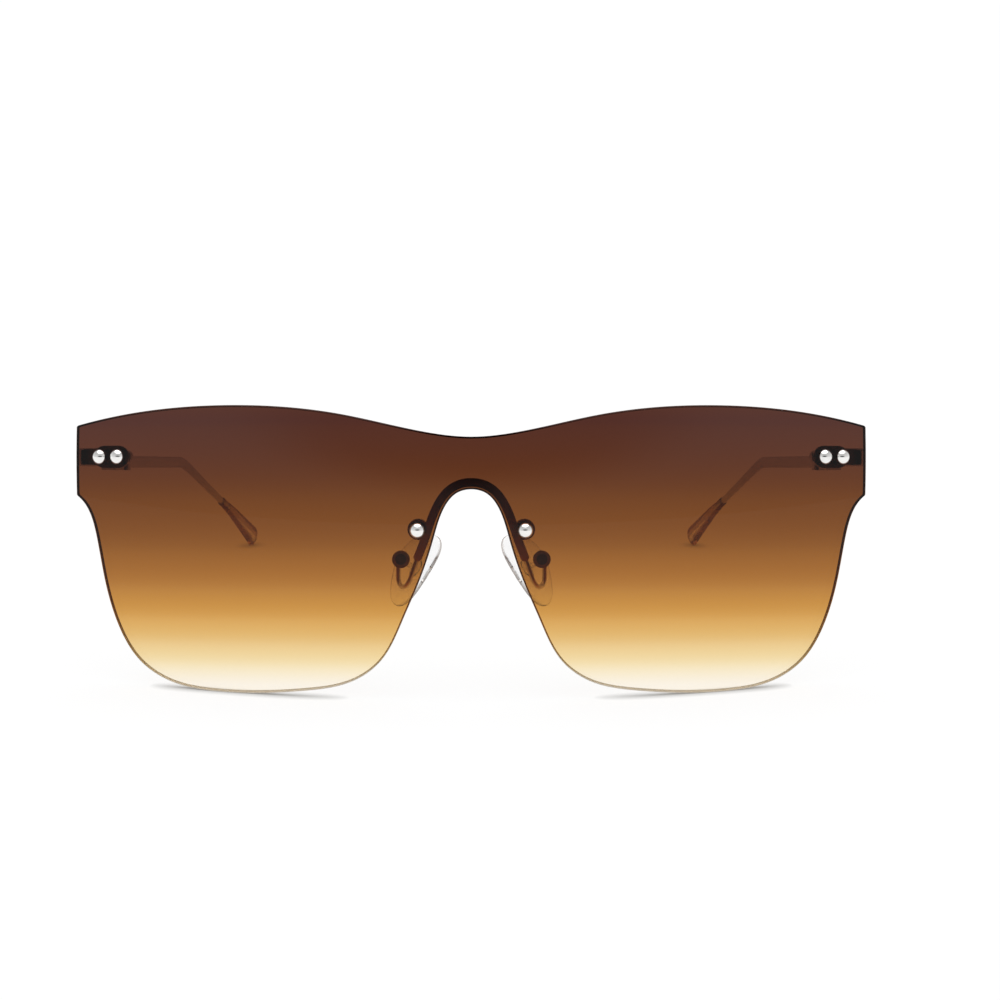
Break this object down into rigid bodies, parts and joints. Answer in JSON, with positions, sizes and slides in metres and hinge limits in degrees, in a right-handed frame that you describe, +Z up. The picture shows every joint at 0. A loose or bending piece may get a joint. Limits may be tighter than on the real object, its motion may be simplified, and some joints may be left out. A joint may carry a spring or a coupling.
{
  "type": "shield sunglasses",
  "caption": "Rimless shield sunglasses: a curved gradient lens screwed to a bridge bar and end pieces, with folding temples and rocking nose pads.",
  "frame": {"origin": "middle of the box's bottom, on the surface that the open sunglasses stand on", "axes": "+X to the wearer's left, +Y back towards the ear tips, +Z up"},
  "size_m": [0.1476, 0.1578, 0.0532],
  "materials": {
    "tinted_lens": "polished clear plastic, brown at the top and fading to almost clear at the bottom",
    "frame_metal": "satin nickel plating",
    "bright_screw": "polished silver",
    "small_screw": "blackened steel",
    "clear_bush": "clear moulded plastic",
    "clear_pad": "clear soft silicone",
    "clear_tip": "polished clear acetate"
  },
  "bodies": {
    "front": {"shield_lens": "tinted_lens", "bridge_bar": "frame_metal", "lens_screws": "bright_screw", "lens_bushes": "clear_bush", "lens_nuts": "frame_metal", "pad_screws": "small_screw", "hinge_screws": "small_screw", "left_pad_arm": "frame_metal", "left_pad_box": "frame_metal", "left_end_piece": "frame_metal", "left_hinge_front_leaf": "frame_metal", "right_pad_arm": "frame_metal", "right_pad_box": "frame_metal", "right_end_piece": "frame_metal", "right_hinge_front_leaf": "frame_metal"},
    "left_temple": {"left_temple": "frame_metal", "left_temple_tip": "clear_tip", "left_hinge_temple_leaf": "frame_metal"},
    "right_temple": {"right_temple": "frame_metal", "right_temple_tip": "clear_tip", "right_hinge_temple_leaf": "frame_metal"},
    "left_pad": {"left_nose_pad": "clear_pad", "left_pad_core": "clear_bush"},
    "right_pad": {"right_nose_pad": "clear_pad", "right_pad_core": "clear_bush"}
  },
  "joints": [
    {"name": "left_temple_fold", "type": "hinge", "parent": "front", "child": "left_temple", "pos_m": [0.0657, -0.04409, 0.03872], "axis": [0, 0.1717, 0.9852], "range_deg": [0, 88]},
    {"name": "right_temple_fold", "type": "hinge", "parent": "front", "child": "right_temple", "pos_m": [-0.0657, -0.04409, 0.03872], "axis": [0, -0.1717, -0.9852], "range_deg": [0, 83]},
    {"name": "left_pad_rock", "type": "hinge", "parent": "front", "child": "left_pad", "pos_m": [0.01284, -0.07042, 0.02494], "axis": [0, 0.9852, -0.1717], "range_deg": [-10, 10]},
    {"name": "right_pad_rock", "type": "hinge", "parent": "front", "child": "right_pad", "pos_m": [-0.01284, -0.07042, 0.02494], "axis": [0, 0.9852, -0.1717], "range_deg": [-10, 10]}
  ]
}
